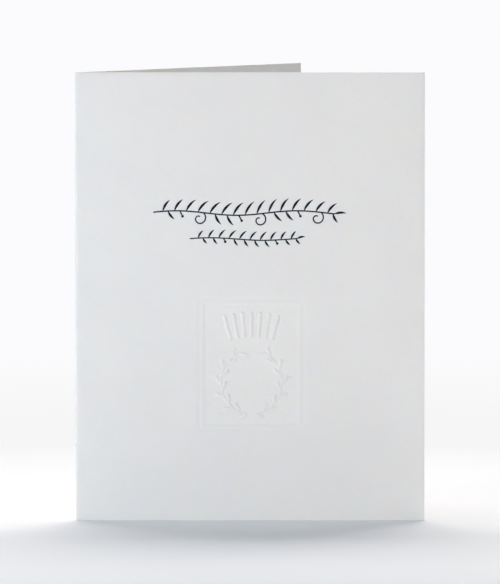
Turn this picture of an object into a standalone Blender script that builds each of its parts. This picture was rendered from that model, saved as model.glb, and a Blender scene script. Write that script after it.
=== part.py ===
"""Folded greeting card: one sheet of thick cotton paper, creased once, standing open on its lower edges.

Metres, +Z up. The front panel faces -Y, the crease is at -X and the back panel runs back to the right.
The origin is the middle of the card's footprint, on the surface that it stands on. The card object's
own origin is on its front face, so that depths into the sheet are lengths along its local +Y.
"""

import math
from typing import NamedTuple

import bmesh
import bpy
from mathutils import Vector
from mathutils.geometry import delaunay_2d_cdt

# Sheet
PANEL_WIDTH = 0.10865
PANEL_HEIGHT = 0.1397
SHEET_THICKNESS = 0.00055
OPENING_ANGLE = math.radians(49.5)
CREASE_INNER_RADIUS = 0.00025
CREASE_STEPS = 14

# What is pressed into the front face, and the film of ink in it
STROKE_DEPTH = 0.00015
INK_THICKNESS = 0.00006
INK_CLEARANCE = 0.00002
FRAME_DEPTH = 0.00008
RELIEF_HEIGHT = 0.00008
RELIEF_ROOT = 0.00015
CUTTER_OVERRUN = 0.001

# Long sprig, the upper line of print
LONG_SPRIG_WIDTH = 0.0598
LONG_SPRIG_SWAY = 0.0007
LONG_SPRIG_STEM_WIDTH = 0.00044
LONG_SPRIG_LEAF_WIDTH = 0.00078
LONG_SPRIG_RISING_LEAF = 0.0050
LONG_SPRIG_HANGING_LEAF = 0.0038

# Short sprig, the lower line of print
SHORT_SPRIG_WIDTH = 0.0357
SHORT_SPRIG_CENTRE_X = -0.0007
SHORT_SPRIG_SWAY = 0.0004
SHORT_SPRIG_STEM_WIDTH = 0.00040
SHORT_SPRIG_LEAF_WIDTH = 0.00066
SHORT_SPRIG_RISING_LEAF = 0.0034
SHORT_SPRIG_HANGING_LEAF = 0.0025

# Leaves, stems, berries and tendrils
LEAF_TIP_WIDTH = 0.00012
LEAF_FULLEST_SHARE = 0.80
LEAF_BOW_ANGLE = math.radians(17)
LEAF_BOW_SHARE = 0.6
LEAF_STEPS = 6
RISING_LEAF_ANGLE = math.radians(53)
HANGING_LEAF_ANGLE = math.radians(54)
END_LEAF_ANGLE = math.radians(9)
END_LEAF_SHARE = 0.72
OUTER_LEAF_SHARE = 0.80
FIRST_LEAF_SHARE = 0.75
LAST_LEAF_SHARE = 0.35
STAGGER_SHARE = 0.45
STEM_START_ANGLE = math.radians(23)
STEM_STEPS = 36
BERRY_RADIUS = 0.00042
BERRY_STALK_ANGLE = math.radians(62)
BERRY_STALK_SHARE = 0.5
BERRY_SIDES = 8
CURL_START_ANGLE = math.radians(28)
CURL_TURN_ANGLE = math.radians(350)
CURL_START_SHARE = 1.5
CURL_END_SHARE = 0.4
CURL_STEPS = 16
CURL_RADIUS_SHARE = 0.38

# Blind panel, which has no ink
BLIND_WIDTH = 0.0333
BLIND_HEIGHT = 0.0418
BLIND_CENTRE_X = 0.0004
BLIND_CENTRE_SHARE = 0.349
FRAME_LINE_WIDTH = 0.0014
FRAME_CORNER_RADIUS = 0.0016
CORNER_STEPS = 4
FAN_DROP = 0.0050
FAN_RADIUS = 0.0310
REED_LENGTH = 0.0070
REED_WIDTH = 0.0011
REED_COUNT = 7
REED_SPACING_ANGLE = math.radians(5.2)
REED_END_STEPS = 4
WREATH_DROP = 0.0056
WREATH_WIDTH = 0.0190
WREATH_HEIGHT = 0.0200
WREATH_LEAF = 0.0029
WREATH_LEAF_WIDTH = 0.00105
WREATH_LEAVES = 12
WREATH_STEM_WIDTH = 0.0004
WREATH_STEPS = 22
WREATH_LEAF_ANGLE = math.radians(33)
WREATH_FOOT_ANGLE = math.radians(9)
WREATH_TOP_ANGLE = math.radians(24)

FLAT_ANGLE = math.radians(1)
SMOOTH_BELOW_ANGLE = math.radians(30)
QUARTER_TURN = math.radians(90)
WELD_DISTANCE = 0.000001


class Sprig(NamedTuple):
    """A leafy stem drawn along X, centred at centre_x and at a share of the panel's height.

    hanging names what hangs from each pair in turn: leaf, berry, curl or bare.
    """

    name: str
    width: float
    centre_x: float
    height_share: float
    sway: float
    sways: float
    stem_width: float
    leaf_width: float
    rising_leaf: float
    hanging_leaf: float
    leaf_pairs: int
    hanging: tuple


SPRIGS = (
    Sprig(
        name="long_sprig",
        width=LONG_SPRIG_WIDTH,
        centre_x=0.0,
        height_share=0.687,
        sway=LONG_SPRIG_SWAY,
        sways=1.5,
        stem_width=LONG_SPRIG_STEM_WIDTH,
        leaf_width=LONG_SPRIG_LEAF_WIDTH,
        rising_leaf=LONG_SPRIG_RISING_LEAF,
        hanging_leaf=LONG_SPRIG_HANGING_LEAF,
        leaf_pairs=15,
        hanging=("leaf", "berry", "bare", "curl", "leaf"),
    ),
    Sprig(
        name="short_sprig",
        width=SHORT_SPRIG_WIDTH,
        centre_x=SHORT_SPRIG_CENTRE_X,
        height_share=0.629,
        sway=SHORT_SPRIG_SWAY,
        sways=1.0,
        stem_width=SHORT_SPRIG_STEM_WIDTH,
        leaf_width=SHORT_SPRIG_LEAF_WIDTH,
        rising_leaf=SHORT_SPRIG_RISING_LEAF,
        hanging_leaf=SHORT_SPRIG_HANGING_LEAF,
        leaf_pairs=10,
        hanging=("leaf", "leaf", "berry", "leaf", "leaf"),
    ),
)

crease_outer_radius = CREASE_INNER_RADIUS + SHEET_THICKNESS
straight_length = PANEL_WIDTH - crease_outer_radius
footprint_depth = (
    crease_outer_radius * (1 + math.cos(OPENING_ANGLE)) + straight_length * math.sin(OPENING_ANGLE)
)


def clear_scene():
    for obj in list(bpy.data.objects):
        bpy.data.objects.remove(obj)


def new_collection(name):
    collection = bpy.data.collections.new(name)
    bpy.context.scene.collection.children.link(collection)
    return collection


def new_material(name, colour, roughness):
    material = bpy.data.materials.new(name)
    material.use_nodes = True
    material.diffuse_color = colour
    shader = material.node_tree.nodes["Principled BSDF"]
    shader.inputs["Base Color"].default_value = colour
    shader.inputs["Roughness"].default_value = roughness
    shader.inputs["Metallic"].default_value = 0.0
    return material


def crease_line():
    """Middle of the sheet seen from above: front free edge, round the crease, back free edge."""
    radius = CREASE_INNER_RADIUS + SHEET_THICKNESS / 2
    centre_x = crease_outer_radius - PANEL_WIDTH / 2
    line = [(PANEL_WIDTH / 2, SHEET_THICKNESS / 2)]
    for step in range(CREASE_STEPS + 1):
        angle = (math.pi - OPENING_ANGLE) * step / CREASE_STEPS
        x = centre_x - radius * math.sin(angle)
        y = crease_outer_radius - radius * math.cos(angle)
        line.append((x, y))
    return line + [moved(line[-1], OPENING_ANGLE, straight_length)]


def make_sheet(collection, paper):
    """The creased sheet: its middle surface stands on edge and is thickened both ways."""
    mesh = bpy.data.meshes.new("card")
    shape = bmesh.new()
    foot = [shape.verts.new((x, y, 0)) for x, y in crease_line()]
    edges = [shape.edges.new(pair) for pair in zip(foot, foot[1:])]
    raised = bmesh.ops.extrude_edge_only(shape, edges=edges)["geom"]
    top = [item for item in raised if isinstance(item, bmesh.types.BMVert)]
    bmesh.ops.translate(shape, verts=top, vec=(0, 0, PANEL_HEIGHT))
    shape.to_mesh(mesh)
    shape.free()
    mesh.materials.append(paper)

    card = bpy.data.objects.new("card", mesh)
    card.location.y = (RELIEF_HEIGHT - footprint_depth) / 2
    collection.objects.link(card)
    thicken = card.modifiers.new("sheet_thickness", "SOLIDIFY")
    thicken.thickness = SHEET_THICKNESS
    thicken.offset = 0
    thicken.use_even_offset = True
    thicken.use_rim = True
    return card


def moved(point, heading, distance):
    return point[0] + distance * math.cos(heading), point[1] + distance * math.sin(heading)


def heading_at(line, i):
    before, after = line[max(i - 1, 0)], line[min(i + 1, len(line) - 1)]
    return math.atan2(after[1] - before[1], after[0] - before[0])


def stroke_outline(line, half_width, grow):
    """Counter-clockwise edge of a pen stroke along line, set outwards by grow on every side.

    half_width gives half the stroke's width at a share of its length.
    """
    last = len(line) - 1
    start = moved(line[0], heading_at(line, 0), -grow)
    end = moved(line[-1], heading_at(line, last), grow)
    line = [start, *line[1:-1], end]
    right, left = [], []
    for i, point in enumerate(line):
        heading = heading_at(line, i)
        reach = half_width(i / last) + grow
        right.append(moved(point, heading - QUARTER_TURN, reach))
        left.append(moved(point, heading + QUARTER_TURN, reach))
    return right + left[::-1]


def disc_outline(centre, radius, sides):
    return [moved(centre, math.tau * k / sides, radius) for k in range(sides)]


def leaf_outline(base, heading, length, width, bow, grow):
    """A slender leaf from its base along heading, bowed to one side by the angle bow."""
    middle = moved(base, heading + bow, length * LEAF_BOW_SHARE)
    tip = moved(base, heading, length)
    line = []
    for step in range(LEAF_STEPS + 1):
        t = step / LEAF_STEPS
        weights = ((1 - t) ** 2, 2 * t * (1 - t), t * t)
        x, z = (sum(w * p[k] for w, p in zip(weights, (base, middle, tip))) for k in (0, 1))
        line.append((x, z))
    thin, full = LEAF_TIP_WIDTH / 2, width / 2

    def half_width(t):
        return thin + (full - thin) * math.sin(math.pi * t**LEAF_FULLEST_SHARE)

    return stroke_outline(line, half_width, grow)


def curl_outline(base, heading, sprig, grow):
    """A tendril that leaves the stem along heading and winds clockwise into a tighter turn."""
    turn = CURL_TURN_ANGLE / CURL_STEPS
    radius = sprig.hanging_leaf * CURL_RADIUS_SHARE
    line = [base]
    for step in range(CURL_STEPS):
        share = CURL_START_SHARE + (CURL_END_SHARE - CURL_START_SHARE) * step / CURL_STEPS
        heading -= turn
        line.append(moved(line[-1], heading, radius * share * turn))
    return stroke_outline(line, lambda t: sprig.stem_width / 2, grow)


def berry_outlines(base, heading, sprig, grow):
    """A short hanging stalk with a round berry on its end."""
    end = moved(base, heading, sprig.hanging_leaf * BERRY_STALK_SHARE)
    stalk = stroke_outline([base, end], lambda t: sprig.stem_width / 2, grow)
    return [stalk, disc_outline(end, BERRY_RADIUS + grow, BERRY_SIDES)]


def stem_point(sprig, share):
    """A point of the stem's middle line, a gentle wave, from the middle of the sprig."""
    length = sprig.width - sprig.rising_leaf * END_LEAF_SHARE
    wave = math.sin(math.tau * sprig.sways * share + STEM_START_ANGLE)
    return length * share - sprig.width / 2, sprig.sway * wave


def stem_heading(sprig, share):
    length = sprig.width - sprig.rising_leaf * END_LEAF_SHARE
    turns = math.tau * sprig.sways
    return math.atan2(sprig.sway * turns * math.cos(turns * share + STEM_START_ANGLE), length)


def sprig_outlines(sprig, grow):
    """Every pen stroke of a sprig, set outwards by grow. Strokes overlap where they meet the stem."""

    def leaf(share, turn, length, bow):
        heading = stem_heading(sprig, share) + turn
        base = stem_point(sprig, share)
        return leaf_outline(base, heading, length, sprig.leaf_width, bow, grow)

    stem = [stem_point(sprig, step / STEM_STEPS) for step in range(STEM_STEPS + 1)]
    outlines = [stroke_outline(stem, lambda t: sprig.stem_width / 2, grow)]
    for pair in range(sprig.leaf_pairs):
        rising = (pair + FIRST_LEAF_SHARE) / (sprig.leaf_pairs + LAST_LEAF_SHARE)
        hanging = rising + STAGGER_SHARE / sprig.leaf_pairs
        growth = OUTER_LEAF_SHARE + (1 - OUTER_LEAF_SHARE) * math.sin(math.pi * rising)
        outlines.append(leaf(rising, RISING_LEAF_ANGLE, sprig.rising_leaf * growth, LEAF_BOW_ANGLE))

        base, along = stem_point(sprig, hanging), stem_heading(sprig, hanging)
        hangs = sprig.hanging[pair % len(sprig.hanging)]
        if hangs == "curl":
            outlines.append(curl_outline(base, along - CURL_START_ANGLE, sprig, grow))
        elif hangs == "berry":
            outlines += berry_outlines(base, along - BERRY_STALK_ANGLE, sprig, grow)
        elif hangs == "leaf":
            length = sprig.hanging_leaf * growth
            outlines.append(leaf(hanging, -HANGING_LEAF_ANGLE, length, -LEAF_BOW_ANGLE))
    end_length = sprig.rising_leaf * END_LEAF_SHARE
    outlines.append(leaf(1, END_LEAF_ANGLE, end_length, LEAF_BOW_ANGLE))
    return outlines


def rounded_rectangle(width, height, radius):
    outline = []
    for quarter, (side, level) in enumerate(((1, 1), (-1, 1), (-1, -1), (1, -1))):
        centre = (side * (width / 2 - radius), level * (height / 2 - radius))
        for step in range(CORNER_STEPS + 1):
            outline.append(moved(centre, QUARTER_TURN * (quarter + step / CORNER_STEPS), radius))
    return outline


def frame_outlines():
    """Outer and inner edge of the line pressed in round the blind panel."""
    inset = 2 * FRAME_LINE_WIDTH
    outer = rounded_rectangle(BLIND_WIDTH, BLIND_HEIGHT, FRAME_CORNER_RADIUS)
    inner = rounded_rectangle(BLIND_WIDTH - inset, BLIND_HEIGHT - inset, FRAME_CORNER_RADIUS / 2)
    return [outer, inner]


def reed_outline(start, heading, length, width):
    """A bar with round ends."""
    outline = []
    for end, turn in ((moved(start, heading, length), -QUARTER_TURN), (start, QUARTER_TURN)):
        for step in range(REED_END_STEPS + 1):
            angle = heading + turn + 2 * QUARTER_TURN * step / REED_END_STEPS
            outline.append(moved(end, angle, width / 2))
    return outline


def fan_outlines():
    """Reeds that spread like a fan below the upper edge of the blind panel."""
    hub = (0, BLIND_HEIGHT / 2 - FAN_DROP - FAN_RADIUS)
    outlines = []
    for number in range(REED_COUNT):
        heading = QUARTER_TURN + REED_SPACING_ANGLE * (number - (REED_COUNT - 1) / 2)
        start = moved(hub, heading, FAN_RADIUS - REED_LENGTH)
        outlines.append(reed_outline(start, heading, REED_LENGTH, REED_WIDTH))
    return outlines


def wreath_point(side, rise):
    """A point of the wreath's oval at the angle rise from its foot, and the heading there."""
    x = side * WREATH_WIDTH / 2 * math.sin(rise)
    z = -WREATH_HEIGHT / 2 * math.cos(rise) - WREATH_DROP
    heading = math.atan2(WREATH_HEIGHT * math.sin(rise), side * WREATH_WIDTH * math.cos(rise))
    return (x, z), heading


def wreath_outlines():
    """Two leafy branches that rise from the foot of an oval and nearly meet at its top."""
    climb = math.pi - WREATH_FOOT_ANGLE - WREATH_TOP_ANGLE
    outlines = []
    for side in (1, -1):
        rises = [WREATH_FOOT_ANGLE + climb * step / WREATH_STEPS for step in range(WREATH_STEPS + 1)]
        branch = [wreath_point(side, rise)[0] for rise in rises]
        outlines.append(stroke_outline(branch, lambda t: WREATH_STEM_WIDTH / 2, 0))
        for number in range(WREATH_LEAVES):
            base, along = wreath_point(side, WREATH_FOOT_ANGLE + climb * number / (WREATH_LEAVES - 1))
            turn = WREATH_LEAF_ANGLE * side * (1 if number % 2 else -1)
            bow = math.copysign(LEAF_BOW_ANGLE, turn)
            outlines.append(leaf_outline(base, along + turn, WREATH_LEAF, WREATH_LEAF_WIDTH, bow, 0))
    return outlines


def plate_mesh(name, outlines, low_y, high_y, material, holes=()):
    """One closed plate that covers all the outlines, which may overlap, from low_y to high_y.

    The outlines lie in the plane of the front panel. holes gives the numbers of those left open.
    """
    points, faces = [], []
    for outline in outlines:
        faces.append(list(range(len(points), len(points) + len(outline))))
        points += [Vector(point) for point in outline]
    places, _, triangles, _, _, owners = delaunay_2d_cdt(points, [], faces, 1, WELD_DISTANCE)

    shape = bmesh.new()
    corners = [shape.verts.new((place.x, low_y, place.y)) for place in places]
    for triangle, covered_by in zip(triangles, owners):
        if covered_by and not set(covered_by) & set(holes):
            shape.faces.new([corners[k] for k in triangle])
    unused = [corner for corner in shape.verts if not corner.link_faces]
    bmesh.ops.delete(shape, geom=unused, context="VERTS")
    bmesh.ops.dissolve_limit(shape, angle_limit=FLAT_ANGLE, verts=shape.verts, edges=shape.edges)
    risen = bmesh.ops.extrude_face_region(shape, geom=shape.faces)["geom"]
    far_side = [item for item in risen if isinstance(item, bmesh.types.BMVert)]
    bmesh.ops.translate(shape, verts=far_side, vec=(0, high_y - low_y, 0))
    bmesh.ops.recalc_face_normals(shape, faces=shape.faces)
    mesh = bpy.data.meshes.new(name)
    shape.to_mesh(mesh)
    shape.free()
    mesh.materials.append(material)
    return mesh


def place_on_front(mesh, card, x, height_share, collection):
    """A new object on the front face, with its origin at the middle of what it draws."""
    obj = bpy.data.objects.new(mesh.name, mesh)
    obj.parent = card
    obj.location = (x, 0, PANEL_HEIGHT * height_share)
    collection.objects.link(obj)
    return obj


def press(card, stamp, operation):
    """Cuts the card with a stamp, or joins the stamp to it."""
    stamp.hide_render = True
    stamp.display_type = "WIRE"
    boolean = card.modifiers.new(stamp.name, "BOOLEAN")
    boolean.operation = operation
    boolean.solver = "EXACT"
    boolean.object = stamp


def make_sprig(sprig, card, parts, stamps, paper, ink):
    """Presses a sprig into the card and lays its film of ink on the floor of the grooves."""
    place = (card, sprig.centre_x, sprig.height_share)
    grooves = sprig_outlines(sprig, INK_CLEARANCE)
    stamp_mesh = plate_mesh(f"{sprig.name}_stamp", grooves, -CUTTER_OVERRUN, STROKE_DEPTH, paper)
    press(card, place_on_front(stamp_mesh, *place, stamps), "DIFFERENCE")

    film_back = STROKE_DEPTH - INK_CLEARANCE
    film_front = film_back - INK_THICKNESS
    strokes = sprig_outlines(sprig, 0)
    film_mesh = plate_mesh(f"{sprig.name}_ink", strokes, film_front, film_back, ink)
    place_on_front(film_mesh, *place, parts)


def make_blind_panel(card, stamps, paper):
    """The uninked panel: a line pressed in all round, with a raised fan and wreath inside it."""
    place = (card, BLIND_CENTRE_X, BLIND_CENTRE_SHARE)
    line_mesh = plate_mesh(
        "frame_line_stamp", frame_outlines(), -CUTTER_OVERRUN, FRAME_DEPTH, paper, holes=[1]
    )
    press(card, place_on_front(line_mesh, *place, stamps), "DIFFERENCE")
    raised = fan_outlines() + wreath_outlines()
    relief_mesh = plate_mesh("relief_stamp", raised, -RELIEF_HEIGHT, RELIEF_ROOT, paper)
    press(card, place_on_front(relief_mesh, *place, stamps), "UNION")


def set_shape(card):
    """Applies the modifiers and shades the crease smooth, with every cut edge sharp."""
    bpy.context.view_layer.update()
    graph = bpy.context.evaluated_depsgraph_get()
    mesh = bpy.data.meshes.new_from_object(card.evaluated_get(graph))
    card.modifiers.clear()
    card.data = mesh
    mesh.name = "card"
    mesh.shade_smooth()
    mesh.set_sharp_from_angle(angle=SMOOTH_BELOW_ANGLE)


def main():
    clear_scene()
    paper = new_material("cotton_paper", (0.80, 0.81, 0.815, 1), 0.9)
    ink = new_material("navy_ink", (0.018, 0.026, 0.055, 1), 0.55)
    parts = new_collection("greeting_card")
    stamps = new_collection("stamps")
    card = make_sheet(parts, paper)
    for sprig in SPRIGS:
        make_sprig(sprig, card, parts, stamps, paper, ink)
    make_blind_panel(card, stamps, paper)
    set_shape(card)


main()
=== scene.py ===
"""Looks of a folded greeting card: thick cotton paper with letterpress print and a blind pressed panel.

Metres, +Z up. The front panel faces -Y. The sheet is drawn flat, as if unrolled: u runs along X on the
front panel and on round the crease into the back panel, v runs up, and depth goes into the sheet from
its outer face. fold() then bends that into place.
"""

import math
from typing import NamedTuple

import bpy
import numpy as np
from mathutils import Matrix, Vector
from mathutils.geometry import delaunay_2d_cdt


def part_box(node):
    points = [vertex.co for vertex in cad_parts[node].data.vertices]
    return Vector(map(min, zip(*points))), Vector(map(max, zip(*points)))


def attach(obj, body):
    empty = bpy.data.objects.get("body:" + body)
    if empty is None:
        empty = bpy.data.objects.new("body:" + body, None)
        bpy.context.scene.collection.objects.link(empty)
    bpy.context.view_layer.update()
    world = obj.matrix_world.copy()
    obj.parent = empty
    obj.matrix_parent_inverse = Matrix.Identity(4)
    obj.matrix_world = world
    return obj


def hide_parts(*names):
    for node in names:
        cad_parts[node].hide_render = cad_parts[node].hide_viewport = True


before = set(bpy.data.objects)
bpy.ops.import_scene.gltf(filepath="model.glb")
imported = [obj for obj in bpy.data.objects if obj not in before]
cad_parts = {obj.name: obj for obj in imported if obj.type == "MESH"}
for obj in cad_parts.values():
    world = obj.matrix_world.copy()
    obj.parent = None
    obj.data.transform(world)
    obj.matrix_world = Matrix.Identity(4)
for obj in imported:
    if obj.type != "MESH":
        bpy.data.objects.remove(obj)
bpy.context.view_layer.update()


class Sprig(NamedTuple):
    """A leafy stem drawn along X: lengths in metres, height_share is of the panel's height."""

    name: str
    width: float
    centre_x: float
    height_share: float
    sway: float
    sways: float
    stem_width: float
    leaf_width: float
    rising_leaf: float
    hanging_leaf: float
    leaf_pairs: int
    hanging: tuple


class Grain(NamedTuple):
    """A noise pattern of a material, and for relief the strength and depth of its bump."""

    scale: float
    detail: float
    roughness: float = 0.5
    strength: float = 0.0
    depth: float = 0.0


class Lamp(NamedTuple):
    """A rectangular lamp: place, target and size in metres, power in watts."""

    name: str
    place: tuple
    target: tuple
    size: tuple
    power: float
    colour: tuple


# Sheet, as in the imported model
SHEET_THICKNESS = 0.00055
OPENING_ANGLE = math.radians(49.5)
CREASE_INNER_RADIUS = 0.00025
RELIEF_HEIGHT = 0.00008
STROKE_DEPTH = 0.00015
FRAME_DEPTH = 0.00008

low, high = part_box("card")
panel_width = high.x - low.x
panel_height = high.z - low.z
face_y = low.y + RELIEF_HEIGHT
free_edge = high.x
crease_outer_radius = CREASE_INNER_RADIUS + SHEET_THICKNESS
crease_middle_radius = CREASE_INNER_RADIUS + SHEET_THICKNESS / 2
crease_x = low.x + crease_outer_radius
crease_angle = math.pi - OPENING_ANGLE
crease_length = crease_middle_radius * crease_angle
far_edge = crease_x - crease_length - (free_edge - crease_x)

# Grain of the sheet's mesh
GRID_SPACING = 0.0020
CREASE_COLUMNS = 16
EDGE_RADIUS = 0.00009
EDGE_STEPS = 3

# Walls of the print and relief, by their distance outside a stroke's edge
WALL_TOP = 0.00007
WALL_FOOT = -0.00008
LIP_HEIGHT = 0.000012
LIP_PLACE = 0.00017
LIP_SPREAD = 0.00011
RELIEF_CROWN = 0.00002
RELIEF_EASE_OUT = 0.00018
RELIEF_EASE_IN = -0.00026
GHOST_HEIGHT = 0.000022
GHOST_SPREAD = 0.00055

# Frame line and the sunk ground inside it, by their distance inside the middle of the line
FRAME_OUTER_WALL = (-0.00130, -0.00010)
FRAME_INNER_WALL = (0.00090, 0.00010)
SINK_WALL = (0.00045, 0.00190)
SINK_DEPTH = 0.00019

# Bow of the sheet: a slow and a quick wave, by their turn in radians across and up a panel
BOW_HEIGHT = 0.00006
BOW_HOLD_SHARE = 1 / 3
SLOW_BOW_SHARE = 0.55
SLOW_BOW_TURNS = ((2.1, 1.3), (-0.7, 2.6))
SLOW_BOW_START = 0.4
QUICK_BOW_SHARE = 0.22
QUICK_BOW_TURNS = ((7.3, -3.1), (2.3, 5.7))
QUICK_BOW_START = 1.1

# Distances from the strokes' edges at which the sheet's mesh has points, and their spacing
PRINT_LEVELS = (
    -0.00035,
    -0.00026,
    -0.00017,
    -0.00011,
    -0.00007,
    -0.00004,
    0.0,
    0.00004,
    0.00008,
    0.00014,
    0.00025,
    0.00050,
)
PRINT_SPACING = 0.00013
FRAME_LEVELS = (-0.00060, -0.00040, -0.00020, 0.0, 0.00015, 0.00030, 0.00060, 0.00095, 0.00135)
FRAME_SPACING = 0.00045
RELIEF_LEVELS = (-0.00045, -0.00036, -0.00026, -0.00017, -0.00008, 0.0, 0.00009, 0.00018, 0.00032)
RELIEF_SPACING = 0.00020
LEVEL_SLACK = 0.000012
CLEAR_OF_LEVELS = 0.00045
GHOST_LEVELS = (0.0, 0.00040, 0.00080, 0.00130)
GHOST_SPACING = 0.00045

# Ink
INK_LEVELS = (-0.00035, -0.00026, -0.00017, -0.00011, -0.00007, -0.00004)
INK_EDGE = -0.000015
INK_THICKNESS = 0.000020
INK_ROOT = 0.000012
INK_RIM = 0.000006

# Printed sprigs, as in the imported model
LONG_SPRIG = Sprig(
    name="long_sprig",
    width=0.0598,
    centre_x=0.0,
    height_share=0.687,
    sway=0.0007,
    sways=1.5,
    stem_width=0.00044,
    leaf_width=0.00078,
    rising_leaf=0.0050,
    hanging_leaf=0.0038,
    leaf_pairs=15,
    hanging=("leaf", "berry", "bare", "curl", "leaf"),
)
SHORT_SPRIG = Sprig(
    name="short_sprig",
    width=0.0357,
    centre_x=-0.0007,
    height_share=0.629,
    sway=0.0004,
    sways=1.0,
    stem_width=0.00040,
    leaf_width=0.00066,
    rising_leaf=0.0034,
    hanging_leaf=0.0025,
    leaf_pairs=10,
    hanging=("leaf", "leaf", "berry", "leaf", "leaf"),
)

# Their leaves, stems, berries and tendrils
LEAF_TIP_WIDTH = 0.00012
LEAF_FULLEST_SHARE = 0.80
LEAF_BOW_ANGLE = math.radians(17)
LEAF_BOW_SHARE = 0.6
LEAF_STEPS = 14
RISING_LEAF_ANGLE = math.radians(53)
HANGING_LEAF_ANGLE = math.radians(54)
END_LEAF_ANGLE = math.radians(9)
END_LEAF_SHARE = 0.72
OUTER_LEAF_SHARE = 0.80
FIRST_LEAF_SHARE = 0.75
LAST_LEAF_SHARE = 0.35
STAGGER_SHARE = 0.45
STEM_START_ANGLE = math.radians(23)
STEM_STEPS = 90
BERRY_RADIUS = 0.00042
BERRY_STALK_ANGLE = math.radians(62)
BERRY_STALK_SHARE = 0.5
CURL_START_ANGLE = math.radians(39)
CURL_TURN_ANGLE = math.radians(350)
CURL_RADIUS_SHARE = 0.38
CURL_START_SHARE = 1.5
CURL_END_SHARE = 0.4
CURL_STEPS = 60

# Blind panel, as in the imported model
BLIND_WIDTH = 0.0333
BLIND_HEIGHT = 0.0418
BLIND_CENTRE_X = 0.0004
BLIND_CENTRE_SHARE = 0.349
FRAME_LINE_WIDTH = 0.0014
FRAME_CORNER_RADIUS = 0.0012
CORNER_STEPS = 8
FAN_DROP = 0.0050
FAN_RADIUS = 0.0310
REED_LENGTH = 0.0070
REED_WIDTH = 0.0011
REED_COUNT = 7
REED_SPACING_ANGLE = math.radians(5.2)
WREATH_DROP = 0.0056
WREATH_WIDTH = 0.0190
WREATH_HEIGHT = 0.0200
WREATH_LEAF = 0.0029
WREATH_LEAF_WIDTH = 0.00105
WREATH_LEAVES = 12
WREATH_LEAF_ANGLE = math.radians(33)
WREATH_FOOT_ANGLE = math.radians(9)
WREATH_TOP_ANGLE = math.radians(24)
WREATH_STEM_WIDTH = 0.0004
WREATH_STEPS = 60

# Paper, colours linear
PAPER_LIGHT = (0.835, 0.828, 0.815, 1)
PAPER_DARK = (0.815, 0.808, 0.795, 1)
PAPER_FIBRE_TONE = (0.77, 0.762, 0.748, 1)
PAPER_CLOUDS = Grain(scale=60, detail=3)
PAPER_CLOUD_RANGE = (0.3, 0.7)
PAPER_FIBRES = Grain(scale=2600, detail=3)
PAPER_FIBRE_RANGE = (0.35, 0.65)
PAPER_FIBRE_SHARE = 0.35
PAPER_FELT = Grain(scale=700, detail=2, strength=0.35, depth=0.00004)
PAPER_TOOTH = Grain(scale=4200, detail=3, roughness=0.6, strength=0.45, depth=0.00002)
PAPER_ROUGHNESS = 0.92
PAPER_SPECULAR = 0.25
PAPER_GLOW_SHARE = 0.45
PAPER_GLOW_COLOUR = (1.0, 0.8, 0.55)
PAPER_GLOW_REACH = 0.0005

# Ink, colours linear
INK_DARK = (0.004, 0.006, 0.014, 1)
INK_LIGHT = (0.011, 0.016, 0.034, 1)
INK_PATCHES = Grain(scale=900, detail=3)
INK_PATCH_RANGE = (0.35, 0.7)
INK_TOOTH = Grain(scale=5200, detail=3, roughness=0.6, strength=0.35, depth=0.00001)
INK_ROUGHNESS_RANGE = (0.5, 0.68)
INK_SPECULAR = 0.15

# Studio, colours linear
FLOOR_COLOUR = (0.93, 0.935, 0.94, 1)
FLOOR_ROUGHNESS = 0.9
FLOOR_SPECULAR = 0.1
HORIZON_COLOUR = (0.922, 0.922, 0.922, 1)
BACKGROUND_COLOUR = (0.965, 0.965, 0.982, 1)
FLOOR_SIZE = 24.0

# The floor turns into the horizon, and that into the background, between these distances from a middle
FLOOR_MIDDLE = (0, -0.15, 0)
FLOOR_FADE = (0.20, 0.39)
HORIZON_FADE = (0.50, 0.85)

# Lights: the even one gains its grade along each axis
WORLD_COLOUR = (0.93, 1.0, 1.06, 1)
WORLD_STRENGTH = 0.299
WORLD_GRADE = (-0.06, -0.185, 0.0)
LAMPS = (
    Lamp(
        name="lamp_above",
        place=(-0.03, 0.50, 0.92),
        target=(0, -0.03, 0),
        size=(1.0, 0.45),
        power=7.7,
        colour=(1.03, 1.0, 1.0),
    ),
    Lamp(
        name="lamp_behind",
        place=(0.27, 1.16, 0.45),
        target=(0, 0, 0),
        size=(1.4, 0.5),
        power=6.2,
        colour=(1.11, 1.0, 0.90),
    ),
    Lamp(
        name="lamp_left",
        place=(-0.45, -0.36, 0.10),
        target=(0, -0.04, 0.07),
        size=(0.12, 0.12),
        power=0.77,
        colour=(0.90, 1.0, 1.12),
    ),
    Lamp(
        name="lamp_front",
        place=(0, -0.60, 0.03),
        target=(0, 0, 0.03),
        size=(0.5, 0.04),
        power=0.70,
        colour=(1.04, 1.0, 1.0),
    ),
)

# Camera
SENSOR_HEIGHT_MM = 36.0
LENS_MM = 495.3
CAMERA_DISTANCE = 2.5
CAMERA_PITCH = math.radians(3.70)
CAMERA_TARGET_Z = 0.07137
CAMERA_CLIP_END = 100

# Numbers of the colour mixer's sockets: its share and two colours, and its result
MIX_INPUTS = (0, 6, 7)
MIX_OUTPUT = 2

# Distance given to points near no stroke, and least squared length of a part of a stroke
FAR_FROM_STROKES = 1.0
LEAST_SQUARE = 1e-12

QUARTER_TURN = math.radians(90)
WELD_DISTANCE = 1e-7


# Pen strokes: each is an array of points along its middle, with x, z and half its width there


def moved(point, heading, distance):
    return np.array([point[0] + distance * math.cos(heading), point[1] + distance * math.sin(heading)])


def line_stroke(line, width):
    return np.column_stack([line, np.full(len(line), width / 2)])


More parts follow.
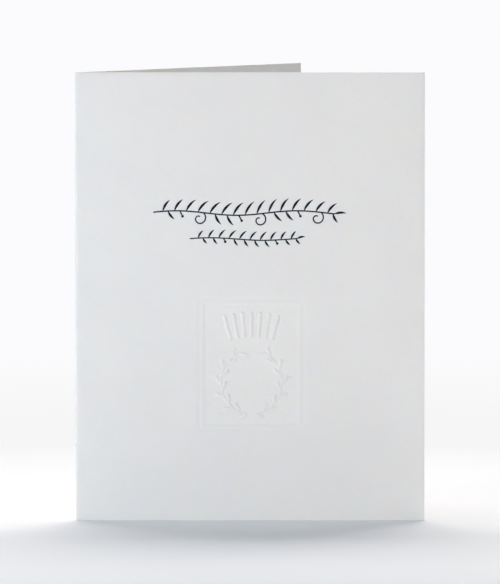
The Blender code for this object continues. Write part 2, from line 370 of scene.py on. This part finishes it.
def leaf_stroke(base, heading, length, width, bow):
    """A slender leaf from its base along heading, bowed to one side by the angle bow."""
    t = np.linspace(0, 1, LEAF_STEPS + 1)[:, None]
    middle = moved(base, heading + bow, length * LEAF_BOW_SHARE)
    tip = moved(base, heading, length)
    line = (1 - t) ** 2 * np.array(base) + 2 * t * (1 - t) * middle + t * t * tip
    thin, full = LEAF_TIP_WIDTH / 2, width / 2
    return np.hstack([line, thin + (full - thin) * np.sin(math.pi * t**LEAF_FULLEST_SHARE)])


def curl_stroke(base, heading, sprig):
    """A tendril that leaves the stem along heading and winds clockwise into a tighter turn."""
    turn = CURL_TURN_ANGLE / CURL_STEPS
    radius = sprig.hanging_leaf * CURL_RADIUS_SHARE
    line = [np.array(base)]
    for step in range(CURL_STEPS):
        share = CURL_START_SHARE + (CURL_END_SHARE - CURL_START_SHARE) * step / CURL_STEPS
        line.append(moved(line[-1], heading - turn * step, radius * share * turn))
    return line_stroke(np.array(line), sprig.stem_width)


def berry_strokes(base, heading, sprig):
    """A short hanging stalk with a round berry on its end."""
    end = moved(base, heading, sprig.hanging_leaf * BERRY_STALK_SHARE)
    return [line_stroke([base, end], sprig.stem_width), line_stroke([end, end], 2 * BERRY_RADIUS)]


def stem_point(sprig, share):
    """A point of the stem's middle line, a gentle wave."""
    length = sprig.width - sprig.rising_leaf * END_LEAF_SHARE
    wave = math.sin(math.tau * sprig.sways * share + STEM_START_ANGLE)
    x = sprig.centre_x + length * share - sprig.width / 2
    return x, low.z + panel_height * sprig.height_share + sprig.sway * wave


def stem_heading(sprig, share):
    length = sprig.width - sprig.rising_leaf * END_LEAF_SHARE
    turns = math.tau * sprig.sways
    return math.atan2(sprig.sway * turns * math.cos(turns * share + STEM_START_ANGLE), length)


def sprig_strokes(sprig):
    def leaf(share, turn, length, bow):
        heading = stem_heading(sprig, share) + turn
        return leaf_stroke(stem_point(sprig, share), heading, length, sprig.leaf_width, bow)

    stem = [stem_point(sprig, step / STEM_STEPS) for step in range(STEM_STEPS + 1)]
    strokes = [line_stroke(stem, sprig.stem_width)]
    for pair in range(sprig.leaf_pairs):
        rising = (pair + FIRST_LEAF_SHARE) / (sprig.leaf_pairs + LAST_LEAF_SHARE)
        hanging = rising + STAGGER_SHARE / sprig.leaf_pairs
        growth = OUTER_LEAF_SHARE + (1 - OUTER_LEAF_SHARE) * math.sin(math.pi * rising)
        strokes.append(leaf(rising, RISING_LEAF_ANGLE, sprig.rising_leaf * growth, LEAF_BOW_ANGLE))

        base, along = stem_point(sprig, hanging), stem_heading(sprig, hanging)
        hangs = sprig.hanging[pair % len(sprig.hanging)]
        if hangs == "curl":
            strokes.append(curl_stroke(base, along - CURL_START_ANGLE, sprig))
        elif hangs == "berry":
            strokes += berry_strokes(base, along - BERRY_STALK_ANGLE, sprig)
        elif hangs == "leaf":
            length = sprig.hanging_leaf * growth
            strokes.append(leaf(hanging, -HANGING_LEAF_ANGLE, length, -LEAF_BOW_ANGLE))
    end_length = sprig.rising_leaf * END_LEAF_SHARE
    strokes.append(leaf(1, END_LEAF_ANGLE, end_length, LEAF_BOW_ANGLE))
    return strokes


def blind_point(x, z):
    """A point given from the middle of the blind panel."""
    return BLIND_CENTRE_X + x, low.z + panel_height * BLIND_CENTRE_SHARE + z


def frame_stroke():
    """The line pressed in round the blind panel, along its middle."""
    half_width = (BLIND_WIDTH - FRAME_LINE_WIDTH) / 2 - FRAME_CORNER_RADIUS
    half_height = (BLIND_HEIGHT - FRAME_LINE_WIDTH) / 2 - FRAME_CORNER_RADIUS
    line = []
    for quarter, (side, level) in enumerate(((1, 1), (-1, 1), (-1, -1), (1, -1))):
        for step in range(CORNER_STEPS + 1):
            angle = QUARTER_TURN * (quarter + step / CORNER_STEPS)
            centre = blind_point(side * half_width, level * half_height)
            line.append(moved(centre, angle, FRAME_CORNER_RADIUS))
    return line_stroke(line + line[:1], FRAME_LINE_WIDTH)


def fan_strokes():
    """Reeds that spread like a fan below the upper edge of the blind panel."""
    hub = blind_point(0, BLIND_HEIGHT / 2 - FAN_DROP - FAN_RADIUS)
    strokes = []
    for number in range(REED_COUNT):
        heading = QUARTER_TURN + REED_SPACING_ANGLE * (number - (REED_COUNT - 1) / 2)
        ends = [moved(hub, heading, reach) for reach in (FAN_RADIUS - REED_LENGTH, FAN_RADIUS)]
        strokes.append(line_stroke(ends, REED_WIDTH))
    return strokes


def wreath_strokes():
    """Two leafy branches that rise from the foot of an oval and nearly meet at its top."""
    climb = math.pi - WREATH_FOOT_ANGLE - WREATH_TOP_ANGLE

    def branch(side, share):
        rise = WREATH_FOOT_ANGLE + climb * share
        x = side * WREATH_WIDTH / 2 * math.sin(rise)
        z = -WREATH_HEIGHT / 2 * math.cos(rise) - WREATH_DROP
        heading = math.atan2(WREATH_HEIGHT * math.sin(rise), side * WREATH_WIDTH * math.cos(rise))
        return blind_point(x, z), heading

    strokes = []
    for side in (1, -1):
        stem = [branch(side, step / WREATH_STEPS)[0] for step in range(WREATH_STEPS + 1)]
        strokes.append(line_stroke(stem, WREATH_STEM_WIDTH))
        for number in range(WREATH_LEAVES):
            base, along = branch(side, number / (WREATH_LEAVES - 1))
            turn = WREATH_LEAF_ANGLE * side * (1 if number % 2 else -1)
            bow = math.copysign(LEAF_BOW_ANGLE, turn)
            strokes.append(leaf_stroke(base, along + turn, WREATH_LEAF, WREATH_LEAF_WIDTH, bow))
    return strokes


# Shapes drawn with the strokes


def edge_distance(points, strokes):
    """How far each point lies outside the edge of the nearest stroke; negative inside one."""
    nearest = np.full(len(points), FAR_FROM_STROKES)
    for stroke in strokes:
        reach = stroke[:, 2].max() + 2 * GRID_SPACING
        lowest = stroke[:, :2].min(axis=0) - reach
        highest = stroke[:, :2].max(axis=0) + reach
        near = np.flatnonzero(((points > lowest) & (points < highest)).all(axis=1))
        start, way = stroke[:-1], np.diff(stroke, axis=0)
        from_start = points[near, None] - start[None, :, :2]
        squares = np.maximum((way[:, :2] ** 2).sum(axis=1), LEAST_SQUARE)
        along = np.clip((from_start * way[:, :2]).sum(axis=2) / squares, 0, 1)
        gap = np.linalg.norm(from_start - along[..., None] * way[:, :2], axis=2)
        gap -= start[:, 2] + along * way[:, 2]
        nearest[near] = np.minimum(nearest[near], gap.min(axis=1))
    return nearest


def respaced(stroke, spacing):
    """The same stroke with points at an even spacing."""
    run = np.append(0, np.cumsum(np.linalg.norm(np.diff(stroke[:, :2], axis=0), axis=1)))
    if run[-1] < spacing:
        return stroke[[0, -1]]
    places = np.linspace(0, run[-1], math.ceil(run[-1] / spacing) + 1)
    return np.column_stack([np.interp(places, run, column) for column in stroke.T])


def outline(stroke, level, spacing):
    """Counter-clockwise points at a distance outside the edge of a stroke, round its round ends."""
    line = respaced(stroke, spacing)
    way = np.gradient(line[:, :2], axis=0)
    heading = np.arctan2(way[:, 1], way[:, 0])
    reach = line[:, 2] + level
    side = np.column_stack([np.sin(heading), -np.cos(heading)]) * reach[:, None]
    right, left = line[:, :2] + side, line[:, :2] - side

    def cap(end, start_angle):
        if reach[end] <= 0:
            return np.empty((0, 2))
        steps = max(2, math.ceil(math.pi * reach[end] / spacing))
        angles = heading[end] + start_angle + math.pi * np.arange(1, steps) / steps
        return line[end, :2] + reach[end] * np.column_stack([np.cos(angles), np.sin(angles)])

    points = [right[reach > 0], cap(-1, -QUARTER_TURN), left[reach > 0][::-1], cap(0, QUARTER_TURN)]
    return np.vstack(points)


def level_points(strokes, levels, spacing):
    """Points at each of the distances from the edge of all the strokes together."""
    kept = []
    for level in levels:
        points = np.vstack([outline(stroke, level, spacing) for stroke in strokes])
        kept.append(points[edge_distance(points, strokes) > level - LEVEL_SLACK])
    return np.vstack(kept)


def soft_step(x, start, end):
    """0 at start, 1 at end and smooth in between."""
    t = np.clip((x - start) / (end - start), 0, 1)
    return t * t * (3 - 2 * t)


print_strokes = sprig_strokes(LONG_SPRIG) + sprig_strokes(SHORT_SPRIG)
frame_strokes = [frame_stroke()]
relief_strokes = fan_strokes() + wreath_strokes()


def print_depth(gap):
    """Depth of the letterpress groove, with a low lip where the paper is pushed up beside it."""
    lip = LIP_HEIGHT * np.exp(-(((gap - LIP_PLACE) / LIP_SPREAD) ** 2))
    return STROKE_DEPTH * soft_step(gap, WALL_TOP, WALL_FOOT) - lip


def frame_inset(points):
    """How far each point lies inside the middle of the frame line; negative outside it."""
    half = np.array([BLIND_WIDTH - FRAME_LINE_WIDTH, BLIND_HEIGHT - FRAME_LINE_WIDTH]) / 2
    past = np.abs(points - blind_point(0, 0)) - half + FRAME_CORNER_RADIUS
    outside = np.linalg.norm(np.maximum(past, 0), axis=1) + np.minimum(past.max(axis=1), 0)
    return FRAME_CORNER_RADIUS - outside


def outer_depth(points):
    """Depth of the outer face below the plain sheet."""
    depth = print_depth(edge_distance(points, print_strokes))
    inset = frame_inset(points)
    depth += FRAME_DEPTH * soft_step(inset, *FRAME_OUTER_WALL) * soft_step(inset, *FRAME_INNER_WALL)
    ground = SINK_DEPTH * soft_step(inset, *SINK_WALL)
    relief_gap = edge_distance(points, relief_strokes)
    raised = (RELIEF_CROWN + ground) * soft_step(relief_gap, RELIEF_EASE_OUT, RELIEF_EASE_IN)
    return depth + ground - raised


def inner_depth(points):
    """Depth of the inner face, with the faint bulge that pressing leaves behind the strokes."""

    def ghost(strokes):
        gap = np.maximum(edge_distance(points, strokes), 0)
        return GHOST_HEIGHT * np.exp(-((gap / GHOST_SPREAD) ** 2))

    return SHEET_THICKNESS + ghost(print_strokes) + ghost(frame_strokes) - ghost(relief_strokes)


def sheet_bow(points):
    """How far the whole sheet bows inwards, so that no panel is perfectly flat."""
    u, v = points.T
    place = np.array([(free_edge - u) / (free_edge - crease_x), v / panel_height])
    first, second = np.array(SLOW_BOW_TURNS) @ place
    slow = SLOW_BOW_SHARE * np.sin(first + SLOW_BOW_START) * np.cos(second)
    first, second = np.array(QUICK_BOW_TURNS) @ place
    quick = QUICK_BOW_SHARE * np.sin(first + QUICK_BOW_START) * np.sin(second)
    from_crease = np.abs(u - crease_x + crease_length / 2)
    hold = soft_step(from_crease, crease_length, panel_width * BOW_HOLD_SHARE)
    return BOW_HEIGHT * hold * (1 + slow + quick)


def fold(points, depth):
    """Places in the card of flat points at a depth below the outer face."""
    u, v = points.T
    depth = depth + sheet_bow(points)
    angle = np.clip((crease_x - u) / crease_middle_radius, 0, crease_angle)
    front = np.maximum(u - crease_x, 0)
    back = np.maximum(crease_x - crease_length - u, 0)
    reach = crease_outer_radius - depth
    x = crease_x + front - np.sin(angle) * reach - np.cos(angle) * back
    y = face_y + crease_outer_radius - np.cos(angle) * reach + np.sin(angle) * back
    return np.column_stack([x, y, v])


def triangulate(border, inner):
    """Points and counter-clockwise triangles of the area in a border, whose points stay first."""
    points = [Vector(point) for point in np.vstack([border, inner])]
    ring = list(range(len(border)))
    places, _, triangles, _, _, _ = delaunay_2d_cdt(points, [], [ring], 1, WELD_DISTANCE)
    return np.array([place[:] for place in places]), np.array(triangles)


def new_piece(name, places, faces, material):
    mesh = bpy.data.meshes.new(name)
    mesh.from_pydata(places.tolist(), [], faces)
    mesh.materials.append(material)
    mesh.shade_smooth()
    piece = bpy.data.objects.new(name, mesh)
    bpy.context.scene.collection.objects.link(piece)
    return piece


def sheet_columns():
    """Places along u, from the back panel's free edge round the crease to the front panel's."""
    count = round(panel_width / GRID_SPACING) + 1
    back = np.linspace(far_edge + EDGE_RADIUS, crease_x - crease_length, count)
    crease = np.linspace(crease_x - crease_length, crease_x, CREASE_COLUMNS + 1)[1:-1]
    front = np.linspace(crease_x, free_edge - EDGE_RADIUS, count)
    return np.concatenate([back, crease, front])


def sheet_rows():
    """Places along v, from the lower edge to the upper one."""
    count = round(panel_height / GRID_SPACING) + 1
    return np.linspace(low.z + EDGE_RADIUS, high.z - EDGE_RADIUS, count)


def sheet_border(columns, rows):
    """Counter-clockwise points round a flat face, and the way outwards from each."""
    sides = [(u, rows[0], 0, -1) for u in columns[:-1]]
    sides += [(columns[-1], v, 1, 0) for v in rows[:-1]]
    sides += [(u, rows[-1], 0, 1) for u in columns[:0:-1]]
    sides += [(columns[0], v, -1, 0) for v in rows[:0:-1]]
    border, outward = np.hsplit(np.array(sides), 2)
    before = np.roll(outward, 1, axis=0)
    corners = np.flatnonzero((outward != before).any(axis=1))
    outward[corners] += before[corners]
    return border, outward


def face_points(columns, rows):
    """Flat points of the outer face and of the inner one, close together along the strokes."""
    grid = np.stack(np.meshgrid(columns[1:-1], rows[1:-1]), axis=-1).reshape(-1, 2)
    strokes = (print_strokes, frame_strokes, relief_strokes)
    clear = np.min([edge_distance(grid, some) for some in strokes], axis=0)
    plain = grid[clear > PRINT_LEVELS[-1] + CLEAR_OF_LEVELS]
    pressed = [
        level_points(print_strokes, PRINT_LEVELS, PRINT_SPACING),
        level_points(frame_strokes, FRAME_LEVELS, FRAME_SPACING),
        level_points(relief_strokes, RELIEF_LEVELS, RELIEF_SPACING),
    ]
    faint = [level_points(some, GHOST_LEVELS, GHOST_SPACING) for some in strokes]
    return np.vstack([plain, *pressed]), np.vstack([plain, *faint])


def edge_rings(border, outward):
    """Flat points and depth of each ring of the rounded cut edge, from the outer face inwards."""
    rings = []
    for step in range(1, EDGE_STEPS + 1):
        angle = QUARTER_TURN * step / EDGE_STEPS
        flat = border + EDGE_RADIUS * math.sin(angle) * outward
        rings.append((flat, EDGE_RADIUS * (1 - math.cos(angle))))
    return rings + [(flat, SHEET_THICKNESS - depth) for flat, depth in rings[::-1]]


def make_sheet(material):
    """The whole sheet as one closed mesh: outer face, rounded cut edge and inner face."""
    columns, rows = sheet_columns(), sheet_rows()
    border, outward = sheet_border(columns, rows)
    outer_points, inner_points = face_points(columns, rows)
    outer, outer_faces = triangulate(border, outer_points)
    inner, inner_faces = triangulate(border, inner_points)
    cut_edge = edge_rings(border, outward)
    places = [fold(outer, outer_depth(outer)), fold(inner, inner_depth(inner))]
    places += [fold(flat, depth) for flat, depth in cut_edge]

    first_inner = len(outer)
    firsts = first_inner + len(inner) + len(border) * np.arange(len(cut_edge))
    rings = [first + np.arange(len(border)) for first in (0, *firsts, first_inner)]
    faces = outer_faces.tolist() + (first_inner + inner_faces[:, ::-1]).tolist()
    for near, far in zip(rings, rings[1:]):
        faces += np.column_stack([np.roll(near, -1), near, far, np.roll(far, -1)]).tolist()
    return new_piece("folded_sheet", np.vstack(places), faces, material)


def flat_film(strokes):
    """Flat points and counter-clockwise triangles that fill the strokes to just inside their edges."""
    points, outlines = [], []
    for stroke in strokes:
        edge = outline(stroke, INK_EDGE, PRINT_SPACING)
        outlines.append(list(range(len(points), len(points) + len(edge))))
        points += edge.tolist()
    points += level_points(strokes, INK_LEVELS, PRINT_SPACING).tolist()
    points = [Vector(point) for point in points]
    places, _, triangles, _, _, owners = delaunay_2d_cdt(points, [], outlines, 1, WELD_DISTANCE)
    filled = np.array([corners for corners, owner in zip(triangles, owners) if owner])
    used, triangles = np.unique(filled, return_inverse=True)
    return np.array([place[:] for place in places])[used], triangles.reshape(-1, 3)


def make_ink(sprig, material):
    """A thin film of ink on the floor of a sprig's grooves and a little way up their walls."""
    strokes = sprig_strokes(sprig)
    flat, triangles = flat_film(strokes)
    gap = edge_distance(flat, strokes)
    paper = print_depth(gap)
    film = INK_THICKNESS * soft_step(gap, 0, -2 * INK_THICKNESS) + INK_RIM
    places = np.vstack([fold(flat, paper - film), fold(flat, paper + INK_ROOT)])

    edges = set()
    for corners in triangles.tolist():
        edges.update(zip(corners, corners[1:] + corners[:1]))
    open_edges = sorted((a, b) for a, b in edges if (b, a) not in edges)
    walls = [(b, a, a + len(flat), b + len(flat)) for a, b in open_edges]
    faces = triangles.tolist() + (len(flat) + triangles[:, ::-1]).tolist() + walls
    return new_piece(f"{sprig.name}_print", places, faces, material)


# Materials


class Nodes:
    """Adds and links the shader nodes of a material or world, which then reads as a list of steps."""

    def __init__(self, owner):
        owner.use_nodes = True
        self.tree = owner.node_tree

    def feed(self, socket, value):
        """Links a socket to another's value, or sets it to a constant."""
        if isinstance(value, bpy.types.NodeSocket):
            self.tree.links.new(value, socket)
        else:
            socket.default_value = value

    def add(self, kind, inputs=(), **settings):
        node = self.tree.nodes.new(kind)
        for name, value in settings.items():
            setattr(node, name, value)
        for name, value in dict(inputs).items():
            self.feed(node.inputs[name], value)
        return node

    def noise(self, place, grain):
        inputs = {
            "Vector": place,
            "Scale": grain.scale,
            "Detail": grain.detail,
            "Roughness": grain.roughness,
        }
        return self.add("ShaderNodeTexNoise", inputs).outputs["Fac"]

    def remap(self, value, source, target=(0, 1)):
        inputs = {
            "Value": value,
            "From Min": source[0],
            "From Max": source[1],
            "To Min": target[0],
            "To Max": target[1],
        }
        return self.add("ShaderNodeMapRange", inputs).outputs["Result"]

    def bump(self, place, grain):
        inputs = {
            "Height": self.noise(place, grain),
            "Strength": grain.strength,
            "Distance": grain.depth,
        }
        return self.add("ShaderNodeBump", inputs)

    def mix(self, share, first, second):
        inputs = dict(zip(MIX_INPUTS, (share, first, second)))
        return self.add("ShaderNodeMix", inputs, data_type="RGBA").outputs[MIX_OUTPUT]

    def fill(self, name, inputs):
        """Feeds the inputs of a node that is there from the start."""
        node = self.tree.nodes[name]
        for socket, value in inputs.items():
            self.feed(node.inputs[socket], value)
        return node


def paper_material():
    """Uncoated cotton paper: soft white, fine tooth, felt-like unevenness and a little glow through."""
    material = bpy.data.materials.new("cotton_paper")
    nodes = Nodes(material)
    place = nodes.add("ShaderNodeTexCoord").outputs["Object"]
    clouds = nodes.remap(nodes.noise(place, PAPER_CLOUDS), PAPER_CLOUD_RANGE)
    fibres = nodes.remap(nodes.noise(place, PAPER_FIBRES), PAPER_FIBRE_RANGE, (0, PAPER_FIBRE_SHARE))
    tone = nodes.mix(fibres, nodes.mix(clouds, PAPER_DARK, PAPER_LIGHT), PAPER_FIBRE_TONE)
    felt, tooth = nodes.bump(place, PAPER_FELT), nodes.bump(place, PAPER_TOOTH)
    nodes.feed(tooth.inputs["Normal"], felt.outputs["Normal"])
    looks = {
        "Base Color": tone,
        "Roughness": PAPER_ROUGHNESS,
        "Specular IOR Level": PAPER_SPECULAR,
        "Subsurface Weight": PAPER_GLOW_SHARE,
        "Subsurface Radius": PAPER_GLOW_COLOUR,
        "Subsurface Scale": PAPER_GLOW_REACH,
        "Normal": tooth.outputs["Normal"],
    }
    nodes.fill("Principled BSDF", looks)
    return material


def ink_material():
    """Navy printing ink: satin, with the paper's tooth just showing through."""
    material = bpy.data.materials.new("navy_ink")
    nodes = Nodes(material)
    place = nodes.add("ShaderNodeTexCoord").outputs["Object"]
    patches = nodes.remap(nodes.noise(place, INK_PATCHES), INK_PATCH_RANGE)
    looks = {
        "Base Color": nodes.mix(patches, INK_DARK, INK_LIGHT),
        "Roughness": nodes.remap(patches, (0, 1), INK_ROUGHNESS_RANGE),
        "Specular IOR Level": INK_SPECULAR,
        "Normal": nodes.bump(place, INK_TOOTH).outputs["Normal"],
    }
    nodes.fill("Principled BSDF", looks)
    return material


# Studio


def aim(obj, target):
    obj.rotation_euler = (Vector(target) - obj.location).to_track_quat("-Z", "Y").to_euler()


def add_lamp(lamp):
    light = bpy.data.lights.new(lamp.name, "AREA")
    light.shape = "RECTANGLE"
    light.size, light.size_y = lamp.size
    light.energy = lamp.power
    light.color = lamp.colour
    holder = bpy.data.objects.new(lamp.name, light)
    holder.location = lamp.place
    holder.visible_camera = False
    aim(holder, lamp.target)
    bpy.context.scene.collection.objects.link(holder)


def sees_background(nodes):
    """1 for rays that show the plain background: the camera's and those mirrored or let through."""
    path = nodes.add("ShaderNodeLightPath").outputs
    share = path["Is Camera Ray"]
    for kind in ("Is Glossy Ray", "Is Transmission Ray"):
        ends = {0: share, 1: path[kind]}
        share = nodes.add("ShaderNodeMath", ends, operation="MAXIMUM").outputs["Value"]
    return share


def floor_material():
    """Plain and pale near the card, and the white of the background far from it."""
    material = bpy.data.materials.new("white_floor")
    nodes = Nodes(material)
    looks = {
        "Base Color": FLOOR_COLOUR,
        "Roughness": FLOOR_ROUGHNESS,
        "Specular IOR Level": FLOOR_SPECULAR,
    }
    floor = nodes.fill("Principled BSDF", looks)

    ends = {0: nodes.add("ShaderNodeTexCoord").outputs["Object"], 1: FLOOR_MIDDLE}
    away = nodes.add("ShaderNodeVectorMath", ends, operation="DISTANCE").outputs["Value"]
    ends = {0: nodes.remap(away, FLOOR_FADE), 1: sees_background(nodes)}
    share = nodes.add("ShaderNodeMath", ends, operation="MULTIPLY").outputs["Value"]
    backdrop = nodes.mix(nodes.remap(away, HORIZON_FADE), HORIZON_COLOUR, BACKGROUND_COLOUR)
    white = nodes.add("ShaderNodeEmission", {"Color": backdrop, "Strength": 1.0})
    layers = {0: share, 1: floor.outputs["BSDF"], 2: white.outputs["Emission"]}
    surface = nodes.add("ShaderNodeMixShader", layers)
    nodes.fill("Material Output", {"Surface": surface.outputs["Shader"]})
    return material


def make_floor():
    """One plain sheet, large enough to reach past the background's fade."""
    mesh = bpy.data.meshes.new("floor")
    half = FLOOR_SIZE / 2
    corners = [(-half, -half, 0), (half, -half, 0), (half, half, 0), (-half, half, 0)]
    mesh.from_pydata(corners, [], [(0, 1, 2, 3)])
    mesh.materials.append(floor_material())
    floor = bpy.data.objects.new("floor", mesh)
    bpy.context.scene.collection.objects.link(floor)


def make_world():
    """Even light, stronger from the left and front; the camera sees a plain background."""
    world = bpy.data.worlds.new("studio")
    bpy.context.scene.world = world
    nodes = Nodes(world)
    ends = {0: nodes.add("ShaderNodeTexCoord").outputs["Generated"], 1: WORLD_GRADE}
    grade = nodes.add("ShaderNodeVectorMath", ends, operation="DOT_PRODUCT").outputs["Value"]
    ends = {0: grade, 1: WORLD_STRENGTH}
    strength = nodes.add("ShaderNodeMath", ends, operation="ADD").outputs["Value"]
    even = nodes.fill("Background", {"Color": WORLD_COLOUR, "Strength": strength})
    plain = nodes.add("ShaderNodeBackground", {"Color": BACKGROUND_COLOUR, "Strength": 1.0})
    layers = {
        0: sees_background(nodes),
        1: even.outputs["Background"],
        2: plain.outputs["Background"],
    }
    surface = nodes.add("ShaderNodeMixShader", layers)
    nodes.fill("World Output", {"Surface": surface.outputs["Shader"]})


def make_camera():
    data = bpy.data.cameras.new("camera")
    data.sensor_fit = "VERTICAL"
    data.sensor_height = SENSOR_HEIGHT_MM
    data.lens = LENS_MM
    data.clip_end = CAMERA_CLIP_END
    camera = bpy.data.objects.new("camera", data)
    target = Vector((0, face_y, CAMERA_TARGET_Z))
    back = Vector((0, -math.cos(CAMERA_PITCH), math.sin(CAMERA_PITCH)))
    camera.location = target + CAMERA_DISTANCE * back
    aim(camera, target)
    bpy.context.scene.collection.objects.link(camera)
    bpy.context.scene.camera = camera


def main():
    paper, ink = paper_material(), ink_material()
    sheet = make_sheet(paper)
    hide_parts("card")
    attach(sheet, "root")
    for sprig in (LONG_SPRIG, SHORT_SPRIG):
        film = make_ink(sprig, ink)
        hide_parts(f"{sprig.name}_ink")
        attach(film, "root")

    make_floor()
    make_world()
    for lamp in LAMPS:
        add_lamp(lamp)
    make_camera()
    bpy.context.scene.view_settings.view_transform = "Standard"


main()
bpy.context.view_layer.update()
